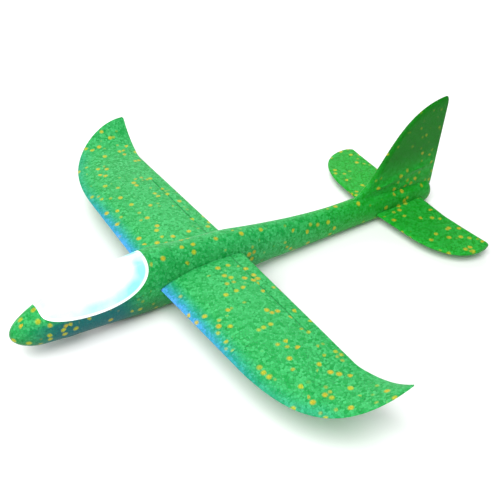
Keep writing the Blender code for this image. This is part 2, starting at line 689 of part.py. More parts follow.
# ---- light unit -----------------------------------------------------------------------------
def make_tub():
    """The housing: cell bay open below, switch bay and wiring room open above."""
    tub = box("battery_tub", (-TUB_HALF_WIDTH, TUB_Y0, TUB_BASE_Z),
              (TUB_HALF_WIDTH, TUB_Y1, TUB_TOP_Z), WHITE)
    flange = box("tub_flange", (-FLANGE_HALF_WIDTH, TUB_Y0, TUB_TOP_Z - FLANGE_THICK),
                 (FLANGE_HALF_WIDTH, TUB_Y1, TUB_TOP_Z))
    corners = [(x, y) for x in (-BASE_SCREW_X, BASE_SCREW_X) for y in BASE_SCREW_YS]
    bosses = [
        rod(f"tub_boss_{i}", BOSS_RADIUS, (x, y, TUB_TOP_Z - FLANGE_THICK - BOSS_DEPTH),
            (x, y, TUB_TOP_Z - FLANGE_THICK / 2), sides=16)
        for i, (x, y) in enumerate(corners)
    ]
    screw_holes = [
        rod(f"tub_screw_hole_{i}", SCREW_RADIUS + GAP,
            (x, y, TUB_TOP_Z - FLANGE_THICK - BOSS_DEPTH + 0.0008), (x, y, TUB_TOP_Z + 0.01),
            sides=12)
        for i, (x, y) in enumerate(corners)
    ]
    half_bay = CELL_BAY_WIDTH / 2
    cell_bay = box("cell_bay", (-half_bay, BAY_Y0, TUB_BASE_Z - 0.01), (half_bay, BAY_Y1, BAY_ROOF_Z))
    door_seat = box("door_seat", (-half_bay - DOOR_LEDGE - GAP, DOOR_Y0 - GAP, TUB_BASE_Z - 0.01),
                    (half_bay + DOOR_LEDGE + GAP, DOOR_Y1 + GAP, TUB_BASE_Z + DOOR_THICK + GAP))
    switch_bay = box("switch_bay", (-half_bay, SWITCH_Y0, FLOOR_TOP_Z), (half_bay, SWITCH_Y1, 0.05))
    room = box("wiring_room", (-half_bay + BOARD_LEDGE, BAY_Y0, ROOM_FLOOR_Z),
               (half_bay - BOARD_LEDGE, SWITCH_Y1, 0.05))
    board_room = box("board_room", (-ROOM_HALF_WIDTH, BAY_Y0, BOARD_Z0 - GAP),
                     (ROOM_HALF_WIDTH, SWITCH_Y1, 0.05))
    tabs = [
        box(f"tab_slot_{i}", (-0.0035, y0, BAY_ROOF_Z - 0.002), (0.0035, y1, ROOM_FLOOR_Z + 0.002))
        for i, (y0, y1) in enumerate(((BAY_Y0 - 0.0001, BAY_Y0 + CONTACT_THICK + 2 * GAP),
                                      (BAY_Y1 - 0.0014, BAY_Y1 + 0.0001)))
    ]
    button_hole = rod("button_hole", BUTTON_RADIUS + GAP, (0, SWITCH_Y, TUB_BASE_Z - 0.01),
                      (0, SWITCH_Y, FLOOR_TOP_Z + 0.001))
    door_screw_hole = rod("door_screw_hole", SCREW_RADIUS + GAP, (0, DOOR_SCREW_Y, TUB_BASE_Z - 0.01),
                          (0, DOOR_SCREW_Y, TUB_BASE_Z + 0.0092), sides=12)
    join(tub, flange, *bosses)
    cut(tub, *screw_holes, cell_bay, door_seat, switch_bay, room, board_room, *tabs,
        button_hole, door_screw_hole)
    return tub


def make_base():
    """The white plate under the canopy, with holes for the lamps and four screws."""
    base = plate("canopy_base", rounded_outline(-BASE_HALF_WIDTH, BASE_HALF_WIDTH,
                                                BASE_Y0, BASE_Y1, 0.006),
                 BASE_Z0, BASE_Z1, WHITE)
    holes = [
        rod(f"lamp_hole_{i}", LED_RADIUS + 2 * GAP, (0, y, BASE_Z0 - 0.001), (0, y, BASE_Z1 + 0.001))
        for i, y in enumerate(led_places())
    ]
    holes += [
        rod(f"base_hole_{i}", SCREW_RADIUS + GAP, (x, y, BASE_Z0 - 0.001), (x, y, BASE_Z1 + 0.001),
            sides=12)
        for i, (x, y) in enumerate((x, y) for x in (-BASE_SCREW_X, BASE_SCREW_X)
                                   for y in BASE_SCREW_YS)
    ]
    cut(base, *holes)
    return base


def led_places():
    return [LED_Y + step * LED_PITCH for step in (-1, 0, 1)]


def make_board():
    return box("circuit_board", (-BOARD_HALF_WIDTH, BOARD_Y0, BOARD_Z0),
               (BOARD_HALF_WIDTH, BOARD_Y1, BOARD_Z0 + BOARD_THICK), BOARD_GREEN)


def make_leds():
    """Three domed lamps standing on the board and reaching through the canopy base."""
    foot = BOARD_Z0 + BOARD_THICK + GAP
    tip = BASE_Z1 + 0.0026
    dome = [(LED_RADIUS * np.cos(a), tip - LED_RADIUS + LED_RADIUS * np.sin(a))
            for a in np.linspace(pi / 2, 0, 6)]
    dome[0] = (0.0, tip)
    rim = LED_RADIUS + 0.0003
    profile = dome + [(LED_RADIUS, foot + 0.0010), (rim, foot + 0.0010), (rim, foot), (0.0, foot)]
    for name, y in zip(("led_front", "led_middle", "led_rear"), led_places()):
        turned(name, profile, (0, y, 0), LED_CLEAR, sides=20)


def make_resistor():
    z = BOARD_Z0 + BOARD_THICK + GAP
    y = LED_Y + LED_PITCH / 2
    return box("resistor", (0.0012, y - 0.0016, z), (0.0040, y + 0.0016, z + 0.0012), BLACK, 0.0002)


def make_cells():
    """Three button cells end to end along the bay."""
    start = BAY_Y0 + CONTACT_THICK + 2 * GAP
    radius = CELL_DIAMETER / 2
    for i, name in enumerate(("cell_front", "cell_middle", "cell_rear")):
        y = start + i * (CELL_LENGTH + GAP)
        half = CELL_LENGTH / 2
        profile = [(0.0, half), (radius * 0.82, half), (radius * 0.86, half - 0.0006),
                   (radius, half - 0.0010), (radius, -half), (0.0, -half)]
        cell = turned(name, profile, (0, y + half, CELL_Z), STEEL, sides=28)
        cell.rotation_euler = (pi / 2, 0, 0)


def make_contacts():
    """The positive plate at the front of the bay and the coiled negative contact at its rear."""
    y = BAY_Y0 + GAP
    low = CELL_Z - 0.0040
    high = ROOM_FLOOR_Z + 0.0012
    box("contact_plate", (-0.0030, y, low), (0.0030, y + CONTACT_THICK, high), STEEL)
    turns = 2.5
    wire_radius = 0.00025
    count = 34
    t = np.linspace(0, 1, count)
    radius = 0.0040 - 0.0018 * t
    angle = pi / 2 + 2 * pi * turns * t
    start = BAY_Y1 - GAP - wire_radius
    run = SPRING_LENGTH - 2 * wire_radius
    coil = np.stack([radius * np.cos(angle), start - run * t, CELL_Z + radius * np.sin(angle)], 1)
    lead = np.array([(0.0, start, ROOM_FLOOR_Z + 0.0012), (0.0, start, CELL_Z + 0.0052)])
    curve = bpy.data.curves.new("contact_spring", "CURVE")
    curve.dimensions = "3D"
    curve.bevel_depth = wire_radius
    curve.bevel_resolution = 2
    curve.use_fill_caps = True
    path = np.vstack([lead, coil])
    spline = curve.splines.new("POLY")
    spline.points.add(len(path) - 1)
    for point, spot in zip(spline.points, path):
        point.co = (*spot, 1.0)
    curve.materials.append(STEEL)
    PARTS.objects.link(bpy.data.objects.new("contact_spring", curve))


def make_switch():
    """The switch body on the tub's floor, and the button that slides up into it."""
    z0 = FLOOR_TOP_Z + GAP
    body = box("switch_body", (-0.0040, SWITCH_Y - 0.0040, z0),
               (0.0040, SWITCH_Y + 0.0040, SWITCH_TOP_Z), BLACK, 0.0003)
    top = BUTTON_COLLAR_Z + BUTTON_COLLAR
    bore = rod("switch_bore", COLLAR_RADIUS + GAP, (0, SWITCH_Y, z0 - 0.002),
               (0, SWITCH_Y, top + BUTTON_TRAVEL + 2 * GAP))
    cut(body, bore)
    edge = 0.0004
    profile = [(0.0, top), (COLLAR_RADIUS, top), (COLLAR_RADIUS, BUTTON_COLLAR_Z),
               (BUTTON_RADIUS, BUTTON_COLLAR_Z), (BUTTON_RADIUS, BUTTON_TIP_Z + edge),
               (BUTTON_RADIUS - edge, BUTTON_TIP_Z), (0.0, BUTTON_TIP_Z)]
    turned("switch_button", profile, (0, SWITCH_Y, 0), BLACK)


def make_door():
    """The battery door, flush with the tub's base and held by one screw."""
    half = CELL_BAY_WIDTH / 2 + DOOR_LEDGE
    door = plate("battery_door", rounded_outline(-half, half, DOOR_Y0, DOOR_Y1, 0.0008, 2),
                 TUB_BASE_Z, TUB_BASE_Z + DOOR_THICK, WHITE)
    head = rod("door_head_hole", SCREW_HEAD_RADIUS + GAP, (0, DOOR_SCREW_Y, TUB_BASE_Z - 0.001),
               (0, DOOR_SCREW_Y, TUB_BASE_Z + DOOR_THICK / 2))
    shank = rod("door_shank_hole", SCREW_RADIUS + GAP, (0, DOOR_SCREW_Y, TUB_BASE_Z - 0.001),
                (0, DOOR_SCREW_Y, TUB_BASE_Z + 0.01), sides=12)
    cut(door, head, shank)
    return door


def screw_profile(head_radius, head_depth, length):
    """A pan-head screw pointing up from its head at the origin."""
    return [(0.0, length), (SCREW_RADIUS * 0.5, length - 0.0004), (SCREW_RADIUS, length - 0.0014),
            (SCREW_RADIUS, head_depth), (head_radius, head_depth),
            (head_radius, head_depth * 0.35), (head_radius * 0.75, 0.0), (0.0, 0.0)]


def make_screws():
    """One screw in the door, pointing up, and four in the canopy base, pointing down."""
    depth = DOOR_THICK / 2 - GAP
    turned("door_screw", screw_profile(SCREW_HEAD_RADIUS, depth, 0.0085),
           (0, DOOR_SCREW_Y, TUB_BASE_Z), STEEL, sides=16)
    number = 1
    for x in (-BASE_SCREW_X, BASE_SCREW_X):
        for y in BASE_SCREW_YS:
            screw = turned(f"base_screw_{number}",
                           screw_profile(SCREW_HEAD_RADIUS, SCREW_HEAD, 0.0075),
                           (x, y, BASE_Z1 + GAP + SCREW_HEAD), STEEL, sides=16)
            screw.rotation_euler = (pi, 0, 0)
            number += 1


def make_wires():
    """Leads from the two contacts and the switch to the underside of the board."""
    floor = ROOM_FLOOR_Z + WIRE_RADIUS + GAP
    under = BOARD_Z0 - GAP
    tab_y = BAY_Y0 + CONTACT_THICK + 2 * GAP
    wire("wire_positive", (
        (0.0, tab_y, floor), (0.0002, tab_y + 0.0016, floor + 0.0001),
        (0.0009, tab_y + 0.0034, floor + 0.0006), (0.0014, tab_y + 0.0046, floor + 0.0018),
        (0.0014, tab_y + 0.0048, under - 0.0008), (0.0014, tab_y + 0.0048, under),
    ), RED_PVC)
    spring_y = BAY_Y1
    wire("wire_negative", (
        (0.0, spring_y, floor), (-0.0002, spring_y + 0.0014, floor + 0.0001),
        (-0.0007, spring_y + 0.0028, floor + 0.0006), (-0.0010, spring_y + 0.0036, floor + 0.0018),
        (-0.0010, spring_y + 0.0038, under - 0.0008), (-0.0010, spring_y + 0.0038, under),
    ), BLACK_PVC)
    wire("wire_switch", (
        (0.0018, SWITCH_Y, SWITCH_TOP_Z + GAP), (0.0018, SWITCH_Y, SWITCH_TOP_Z + 0.0015),
        (0.0024, SWITCH_Y + 0.0006, SWITCH_TOP_Z + 0.0045),
        (0.0028, SWITCH_Y + 0.0010, under - 0.0010), (0.0028, SWITCH_Y + 0.0010, under),
    ), BLUE_PVC)


make_fuselage()
make_wing()
make_tailplane()
make_canopy()
make_base()
make_tub()
make_board()
make_leds()
make_resistor()
make_cells()
make_contacts()
make_switch()
make_door()
make_screws()
make_wires()
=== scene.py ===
"""Bead-foam hand-launch glider with a lit canopy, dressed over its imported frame.

Metres, +Z up: the nose points to -Y, the span runs along X and the belly rests on Z = 0.
"""

import bmesh
import bpy
import numpy as np
from mathutils import Matrix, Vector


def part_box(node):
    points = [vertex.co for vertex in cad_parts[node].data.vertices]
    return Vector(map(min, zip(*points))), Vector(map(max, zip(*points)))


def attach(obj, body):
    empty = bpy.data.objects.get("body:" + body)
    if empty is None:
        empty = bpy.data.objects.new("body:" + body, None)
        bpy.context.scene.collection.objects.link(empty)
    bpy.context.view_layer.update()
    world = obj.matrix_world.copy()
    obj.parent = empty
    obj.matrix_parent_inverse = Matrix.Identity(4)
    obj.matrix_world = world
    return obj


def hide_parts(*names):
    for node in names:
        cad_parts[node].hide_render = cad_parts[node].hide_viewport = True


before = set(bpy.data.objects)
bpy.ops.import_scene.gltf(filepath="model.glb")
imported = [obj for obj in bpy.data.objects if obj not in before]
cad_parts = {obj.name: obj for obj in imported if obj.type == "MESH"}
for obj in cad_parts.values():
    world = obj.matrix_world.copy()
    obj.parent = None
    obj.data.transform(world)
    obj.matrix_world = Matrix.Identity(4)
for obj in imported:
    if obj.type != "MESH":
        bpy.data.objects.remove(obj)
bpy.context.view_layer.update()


# ---- fuselage and fin -----------------------------------------------------------------------
# One moulding of expanded bead foam: a round body that narrows to a slim boom, with the fin
# moulded on. Slots for the wing and the tailplane and a pocket for the light unit are cut
# through it, and the beads show all over as small cells with a few yellow and orange ones.
GAP = 0.0003
NOSE_Y = -0.239
FIN_END_Y = 0.2311
BODY_STATIONS = np.array((
    # along,  half-width, centre height, half-height
    (-0.239, 0.0178, 0.0250, 0.0195),
    (-0.219, 0.0179, 0.0264, 0.0203),
    (-0.204, 0.0178, 0.0288, 0.0212),
    (-0.189, 0.0180, 0.0303, 0.0238),
    (-0.159, 0.0192, 0.0309, 0.0264),
    (-0.129, 0.0198, 0.0310, 0.0299),
    (-0.109, 0.0199, 0.0309, 0.0315),
    (-0.071, 0.0189, 0.0291, 0.0281),
    (-0.031, 0.0175, 0.0277, 0.0249),
    (0.009, 0.0145, 0.0246, 0.0206),
    (0.049, 0.0123, 0.0208, 0.0180),
    (0.089, 0.0109, 0.0183, 0.0162),
    (0.129, 0.0104, 0.0172, 0.0157),
    (0.179, 0.0102, 0.0147, 0.0139),
    (0.229, 0.0097, 0.0126, 0.0120),
))
FIN_EDGE = ((0.1241, 0.0335), (0.1641, 0.0520), (0.1673, 0.1184), (0.2261, 0.12145))
FIN_TIP_ROUND = 0.005
FIN_LEAN = 0.0832
END_SPREAD = 0.012
SECTION_POWER = 2.15
FAIRING_POWER = 2.6


def ease(value):
    """A smooth step from 0 to 1: three squares less two cubes."""
    value = np.clip(value, 0, 1)
    return value * value * (3 - 2 * value)


def round_edge(distance, radius):
    """A quarter circle that rises from 0 at an edge to 1 at the radius behind it."""
    inside = np.clip(distance / radius, 0, 1)
    return np.sqrt(np.clip(1 - (1 - inside) ** 2, 0, 1))


def smooth_line(knots, values, at):
    """Cubic pieces through the knots, each starting and ending at its neighbours' mean slope."""
    slopes = np.gradient(values, knots)
    k = np.clip(np.searchsorted(knots, at) - 1, 0, len(knots) - 2)
    step = knots[k + 1] - knots[k]
    t = np.clip((at - knots[k]) / step, 0, 1)
    return (
        (1 + 2 * t) * (1 - t) ** 2 * values[k]
        + t * (1 - t) ** 2 * step * slopes[k]
        + t * t * (3 - 2 * t) * values[k + 1]
        + t * t * (t - 1) * step * slopes[k + 1]
    )


def cubic(points, t):
    """A cubic Bezier curve: four points weighted by the terms of (t + (1 - t)) cubed."""
    a, b, c, d = (np.asarray(p, float) for p in points)
    t = np.asarray(t, float)[:, None]
    return (1 - t) ** 3 * a + 3 * (1 - t) ** 2 * t * b + 3 * (1 - t) * t * t * c + t**3 * d


def body_section(y):
    """Half-width, centre height and half-height of the round body, drawn in at both ends."""
    half_width, centre, half_height = (
        smooth_line(BODY_STATIONS[:, 0], BODY_STATIONS[:, i], y) for i in (1, 2, 3)
    )
    ends = round_edge(y - NOSE_Y, 0.050) * round_edge(FIN_END_Y - y, 0.010)
    return half_width * ends, centre, half_height * ends


def body_oval(width, rise):
    """Half-width of a slightly squared oval at a height given as a share of its half-height."""
    return width * (1 - np.clip(np.abs(rise), 0, 1) ** SECTION_POWER) ** (1 / SECTION_POWER)


def fin_top(y):
    """Height of the fin's edge: the Bezier curve read at y, with a round aft corner."""
    edge = cubic(FIN_EDGE, np.linspace(0, 1, 90))
    past = np.clip(y - (FIN_END_Y - FIN_TIP_ROUND), 0, FIN_TIP_ROUND)
    drop = FIN_TIP_ROUND - np.sqrt(FIN_TIP_ROUND**2 - past**2)
    return np.interp(y, edge[:, 0], edge[:, 1], left=0) - drop


def root_ribs(y, z):
    """Two low ribs beside the fin's root, each a bell curve across its own sloping line."""
    upper_line = 0.0370 + (y - 0.137) * 0.140
    upper = np.exp(-(((z - upper_line) / 0.0025) ** 2)) * ease((y - 0.139) / 0.02)
    lower_line = 0.0300 + (y - 0.160) * 0.060
    lower = np.exp(-(((z - lower_line) / 0.0023) ** 2)) * ease((y - 0.160) / 0.02)
    return (0.0023 * upper + 0.0018 * lower) * ease((0.229 - y) / 0.008)


def side_of_body(y, z, top):
    """Half-width at (y, z): body and fin added as powers, which fairs one into the other."""
    width, centre, height = body_section(y)
    body = body_oval(width, (z - centre) / np.maximum(height, 1e-6))
    start = ease((y - (FIN_END_Y - 0.125)) / 0.03) * ease((z - centre) / 0.010)
    slim = 1 - 0.35 * np.clip((z - 0.022) / 0.1, 0, 1)
    fin = 0.0034 * slim * start * round_edge((top - z) * 0.7, 0.006)
    fin = fin * round_edge(FIN_END_Y - y, 0.0025)
    both = (body**FAIRING_POWER + fin**FAIRING_POWER) ** (1 / FAIRING_POWER)
    inside = ease((both - 0.001) / 0.003)
    return np.where(fin > 0, both, body) + root_ribs(y, z) * inside


def place_object(name, content):
    """An object with this content, in the scene."""
    item = bpy.data.objects.new(name, content)
    bpy.context.scene.collection.objects.link(item)
    return item


def closed_mesh(name, points, faces, merge_within=0.0):
    """An object whose faces all look outwards, with points closer than a distance merged."""
    mesh = bpy.data.meshes.new(name)
    mesh.from_pydata(points, [], faces)
    bm = bmesh.new()
    bm.from_mesh(mesh)
    if merge_within:
        bmesh.ops.remove_doubles(bm, verts=bm.verts, dist=merge_within)
    bmesh.ops.recalc_face_normals(bm, faces=bm.faces)
    bm.to_mesh(mesh)
    bm.free()
    return place_object(name, mesh)


def skin(name, points):
    """A mesh from a closed-ring grid (rows, ring, xyz): quads between neighbours, poles merged."""
    rows, ring = points.shape[:2]
    index = np.arange(rows * ring).reshape(rows, ring)
    ahead = np.roll(index, -1, axis=1)
    quads = np.stack([index[:-1], index[1:], ahead[1:], ahead[:-1]], axis=-1).reshape(-1, 4)
    item = closed_mesh(name, points.reshape(-1, 3), quads.tolist(), merge_within=0.000002)
    item.data.shade_smooth()
    return item


def fuselage_points(rows, columns):
    """Stations along Y by heights up one side and down the other.

    Heights run as a cosine from the belly to the body's top and then up the fin, and each
    point is pushed back in proportion to its height where the fin's trailing edge leans.
    """
    nose = NOSE_Y + 0.05 * (1 - np.cos(np.pi / 2 * np.linspace(0, 1, rows // 5)))
    middle = np.linspace(NOSE_Y + 0.05, FIN_END_Y - END_SPREAD, rows - 2 * (rows // 5) + 2)[1:-1]
    tail = FIN_END_Y - END_SPREAD * (1 - np.sin(np.pi / 2 * np.linspace(0, 1, rows // 5)))
    y = np.concatenate([nose, middle, tail])[:, None]
    _, centre, height = body_section(y)
    low = np.maximum(centre - height, 0.0)
    top = np.maximum(centre + height, fin_top(y))
    top[0] = low[0] = centre[0]
    rim = np.minimum(centre + height, top)
    split = 1 - 0.40 * ease((top - rim) / 0.02)
    across = np.concatenate([[0], np.linspace(0, 1, columns)])[None, :]
    below = (1 - np.cos(np.pi * np.clip(across / split, 0, 1))) / 2
    above = np.clip((across - split) / np.maximum(1 - split, 0.01), 0, 1)
    above = np.where(across == 1, 1, above * (1.5 - 0.5 * above))
    z = low + (rim - low) * below + (top - rim) * above
    y = np.broadcast_to(y, z.shape)
    x = side_of_body(y, z, np.broadcast_to(top, z.shape))
    x[:, 0] = x[:, -1] = x[0] = x[-1] = 0
    back = FIN_LEAN * np.maximum(z - 0.022, 0) * ease((y - FIN_END_Y + 0.11) / 0.11)
    near = np.stack([x, y + back, z], axis=2)
    far = near[:, -2:0:-1] * (-1, 1, 1)
    return np.concatenate([near, far], axis=1)


def prism(name, outline, axis, low, high):
    """A block with a flat outline, carried from low to high along one axis."""
    outline = np.asarray(outline, float)
    count = len(outline)
    ends = [np.insert(outline, axis, value, axis=1) for value in (low, high)]
    around = np.arange(count)
    ahead = np.roll(around, -1)
    sides = np.stack([around, ahead, ahead + count, around + count], axis=1).tolist()
    return closed_mesh(name, np.vstack(ends), sides + [around.tolist(), (around + count).tolist()])


def oblong(x0, x1, y0, y1, radius, steps=8):
    """A rectangle's corners, each drawn as a quarter circle."""
    angle = (np.arange(4)[:, None] + np.linspace(0, 1, steps)[None, :]) * np.pi / 2
    middle_x = np.array((x1 - radius, x0 + radius, x0 + radius, x1 - radius))[:, None]
    middle_y = np.array((y1 - radius, y1 - radius, y0 + radius, y0 + radius))[:, None]
    x = middle_x + radius * np.cos(angle)
    y = middle_y + radius * np.sin(angle)
    return np.stack([x.ravel(), y.ravel()], axis=1)


def carve(item, cutters, operation="DIFFERENCE"):
    """Cuts the blocks from a piece (or keeps what is inside them) and applies the result."""
    group = bpy.data.collections.new("blocks")
    bpy.context.scene.collection.children.link(group)
    for block in cutters:
        group.objects.link(block)
    tool = item.modifiers.new("carve", "BOOLEAN")
    tool.operation = operation
    tool.solver = "EXACT"
    tool.operand_type = "COLLECTION"
    tool.collection = group
    depsgraph = bpy.context.evaluated_depsgraph_get()
    result = bpy.data.meshes.new_from_object(item.evaluated_get(depsgraph))
    item.modifiers.clear()
    item.data = result
    result.shade_smooth()
    result.set_sharp_from_angle(angle=0.7)
    for block in cutters:
        bpy.data.objects.remove(block, do_unlink=True)
    bpy.data.collections.remove(group)


CANOPY_Y = (-0.2132, -0.1137)
CANOPY_WALL = 0.0010
CANOPY_RIM_Z = 0.0317
CANOPY_RIM_DROP = 0.0018
CANOPY_RIM_POWER = 2.05


def canopy_rim(y, inset):
    """Height of the canopy's edge: level in the middle and rising to the body's top at each end,
    as one less the root of one less a power of the distance from the middle."""
    start = CANOPY_Y[0] + inset
    end = CANOPY_Y[1] - inset
    across = np.clip(np.abs(2 * (y - start) / (end - start) - 1), 0, 1)
    _, centre, height = body_section(y)
    low = CANOPY_RIM_Z - CANOPY_RIM_DROP * (end - y) / (end - start) + inset
    high = centre + height - 1.3 * CANOPY_WALL + inset
    return low + (high - low) * (1 - (1 - across**CANOPY_RIM_POWER) ** (1 / CANOPY_RIM_POWER))


def canopy_window(name, inset):
    """The block above the canopy's edge curve."""
    across = (1 - np.cos(np.pi * np.linspace(0, 1, 81))) / 2
    y = CANOPY_Y[0] + inset + (CANOPY_Y[1] - CANOPY_Y[0] - 2 * inset) * across
    outline = np.stack([y, canopy_rim(y, inset)], axis=1)
    over = ((CANOPY_Y[1] - inset, 0.09), (CANOPY_Y[0] + inset, 0.09))
    return prism(name, np.vstack([outline, over]), 0, -0.03, 0.03)


WING_LE_Y = -0.1078
WING_CHORD = 0.0880
WING_Z = 0.0308
THICKEST_AT = 0.30


def wing_profile(share):
    """Camber height, a rising line with a parabola on it, and half-thickness: a quarter ellipse
    to 30% of the chord, then a slow taper with a rounded trailing edge."""
    camber = WING_Z + 0.0040 * share + 0.0120 * share * (1 - share)
    nose = np.sqrt(np.clip(1 - (1 - np.clip(share / THICKEST_AT, 0, 1)) ** 2, 0, 1))
    taper = 1 - 0.72 * np.clip((share - THICKEST_AT) / (1 - THICKEST_AT), 0, 1) ** 1.4
    return camber, 0.0042 * nose * taper * round_edge(1 - share, 0.014)


def loop_around(shares):
    """Shares over the top and back underneath, with +1 above, -1 below and 0 at both edges."""
    share = np.concatenate([shares, shares[-2:0:-1]])
    side = np.concatenate([np.ones(len(shares)), -np.ones(len(shares) - 2)])
    side[0] = side[len(shares) - 1] = 0
    return share, side


def grown(y, z, by):
    """An outline moved outwards along its own normals."""
    dy = np.roll(y, -1) - np.roll(y, 1)
    dz = np.roll(z, -1) - np.roll(z, 1)
    length = np.hypot(dy, dz)
    return np.stack([y - by * dz / length, z + by * dy / length], axis=1)


def wing_slot():
    """The hole that the wing's middle section passes through."""
    share, side = loop_around((1 - np.cos(np.pi * np.linspace(0, 1, 41))) / 2)
    camber, thick = wing_profile(share)
    outline = grown(WING_LE_Y + WING_CHORD * share, camber + side * thick, 1.3 * GAP)
    return prism("wing_slot", outline, 0, -0.05, 0.05)


TAIL_Z = 0.0106
TAIL_LEAD_Y = 0.1506
TAIL_TRAIL_Y = 0.2128
TAIL_LEAD_ROUND = 0.0040
TAIL_HALF_THICK = 0.0022


def tail_loop():
    """Distances and signed half-thickness once round the flat section with its round edges."""
    front = TAIL_LEAD_ROUND * (1 - np.cos(np.pi / 2 * np.linspace(0, 1, 10)))
    back = TAIL_HALF_THICK * (1 - np.cos(np.pi / 2 * np.linspace(0, 1, 8)))
    chord = TAIL_TRAIL_Y - TAIL_LEAD_Y
    middle = np.linspace(TAIL_LEAD_ROUND, chord - TAIL_HALF_THICK, 50)[1:-1]
    run = np.concatenate([front, middle, (chord - back)[::-1]])
    thick = TAIL_HALF_THICK * round_edge(run, TAIL_LEAD_ROUND)
    thick = thick * round_edge(chord - run, TAIL_HALF_THICK)
    share = np.concatenate([run, run[-2:0:-1]]) / chord
    signed = np.concatenate([thick, -thick[-2:0:-1]])
    return share, signed


def tail_slot():
    """The hole that the tailplane passes through."""
    share, signed = tail_loop()
    run = TAIL_LEAD_Y + (TAIL_TRAIL_Y + 0.0006 - TAIL_LEAD_Y) * share
    return prism("tail_slot", grown(run, TAIL_Z + signed, 1.2 * GAP), 0, -0.05, 0.05)


def unit_pocket():
    """The pocket for the light unit, and the shallow seats above it for its flange and base."""
    tub_low, tub_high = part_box("battery_tub")
    base_low, base_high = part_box("canopy_base")
    well = prism("well", oblong(-0.0080, 0.0080, tub_low[1] - GAP, tub_high[1] + GAP, 0.0008),
                 2, -0.01, 0.05)
    flange = prism("flange", oblong(tub_low[0] - GAP, tub_high[0] + GAP, tub_low[1] - GAP,
                                    tub_high[1] + GAP, 0.0008), 2, tub_high[2] - 0.0065, 0.05)
    base = prism("base", oblong(base_low[0] - GAP, base_high[0] + GAP, base_low[1] - GAP,
                                base_high[1] + GAP, 0.006), 2, tub_high[2], 0.05)
    return [well, flange, base]


fuselage = skin("fuselage_foam", fuselage_points(330, 84))
carve(fuselage, [canopy_window("canopy_seat", 0.0), wing_slot(), tail_slot()] + unit_pocket())


def shader_of(name):
    """A new node material and its shader."""
    material = bpy.data.materials.new(name)
    material.use_nodes = True
    return material, material.node_tree.nodes["Principled BSDF"]


def node(material, kind, **settings):
    """A node of one kind with its settings made."""
    made = material.node_tree.nodes.new(kind)
    for key, value in settings.items():
        setattr(made, key, value)
    return made


def wire_up(material, start, end):
    """A link from one node's output to another's input."""
    material.node_tree.links.new(start, end)


def object_place(material):
    """Each point's place in the object's own frame."""
    return node(material, "ShaderNodeTexCoord").outputs["Object"]


def parts_of(material, kind, source):
    """The parts of a place (kind XYZ) or of a colour (kind Color)."""
    made = node(material, "ShaderNodeSeparate" + kind)
    wire_up(material, source, made.inputs[0])
    return made.outputs


def texture(material, kind, place, inputs, **settings):
    """A procedural texture laid over the place, with its inputs and settings made."""
    made = node(material, "ShaderNodeTex" + kind, **settings)
    for name, value in inputs.items():
        made.inputs[name].default_value = value
    wire_up(material, place, made.inputs["Vector"])
    return made.outputs


def map_value(material, source, low, high, to_low=0.0, to_high=1.0, smooth=True):
    """A smooth or straight ramp of one value between two limits."""
    ramp = node(material, "ShaderNodeMapRange",
                interpolation_type="SMOOTHSTEP" if smooth else "LINEAR")
    ramp.inputs["From Min"].default_value = low
    ramp.inputs["From Max"].default_value = high
    ramp.inputs["To Min"].default_value = to_low
    ramp.inputs["To Max"].default_value = to_high
    wire_up(material, source, ramp.inputs["Value"])
    return ramp.outputs["Result"]


def combine(material, operation, first, second):
    """Two values put together by one sum, product or the like."""
    maths = node(material, "ShaderNodeMath", operation=operation)
    for socket, value in zip(maths.inputs, (first, second)):
        if isinstance(value, (int, float)):
            socket.default_value = value
        else:
            wire_up(material, value, socket)
    return maths.outputs["Value"]


def product(material, first, *others):
    """Values multiplied together, one after another."""
    for other in others:
        first = combine(material, "MULTIPLY", first, other)
    return first


def blend_colour(material, share, first, second, blend_type="MIX"):
    """One colour over another by a share."""
    mix = node(material, "ShaderNodeMix", data_type="RGBA", blend_type=blend_type)
    wire_up(material, share, mix.inputs["Factor"])
    for name, value in (("A_Color", first), ("B_Color", second)):
        socket = next(s for s in mix.inputs if s.identifier == name)
        if isinstance(value, tuple):
            socket.default_value = (*value, 1.0)
        else:
            wire_up(material, value, socket)
    return next(s for s in mix.outputs if s.identifier == "Result_Color")


def raise_surface(material, shader, height, strength, distance):
    """A fine relief from a height."""
    bump = node(material, "ShaderNodeBump")
    bump.inputs["Strength"].default_value = strength
    bump.inputs["Distance"].default_value = distance
    wire_up(material, height, bump.inputs["Height"])
    wire_up(material, bump.outputs["Normal"], shader.inputs["Normal"])


def foam_tones_and_painted_shade(material, spot, tone):
    """Green by place: colder ahead and warmer behind, with painted shade darkening the body low at
    the nose and the fin towards its top.
    """
    along, height = spot["Y"], spot["Z"]
    cold = blend_colour(material, tone, (0.002, 0.310, 0.048), (0.050, 0.500, 0.140))
    warm = blend_colour(material, tone, (0.000, 0.310, 0.004), (0.018, 0.430, 0.046))
    body = blend_colour(material, map_value(material, along, 0.00, 0.16), cold, warm)
    # Painted shade: the body ahead of the wing darkens towards the belly.
    painted_shade_low_front = product(material, map_value(material, height, 0.038, 0.010),
                       map_value(material, along, -0.085, -0.115), 0.85)
    body = blend_colour(material, painted_shade_low_front, body, (0.000, 0.130, 0.030))
    # Painted shade: the fin's sides darken towards its top.
    painted_shade_up_fin = product(material, map_value(material, height, 0.040, 0.072),
                   map_value(material, along, 0.100, 0.140), 0.85)
    return blend_colour(material, painted_shade_up_fin, body, (0.000, 0.170, 0.000))


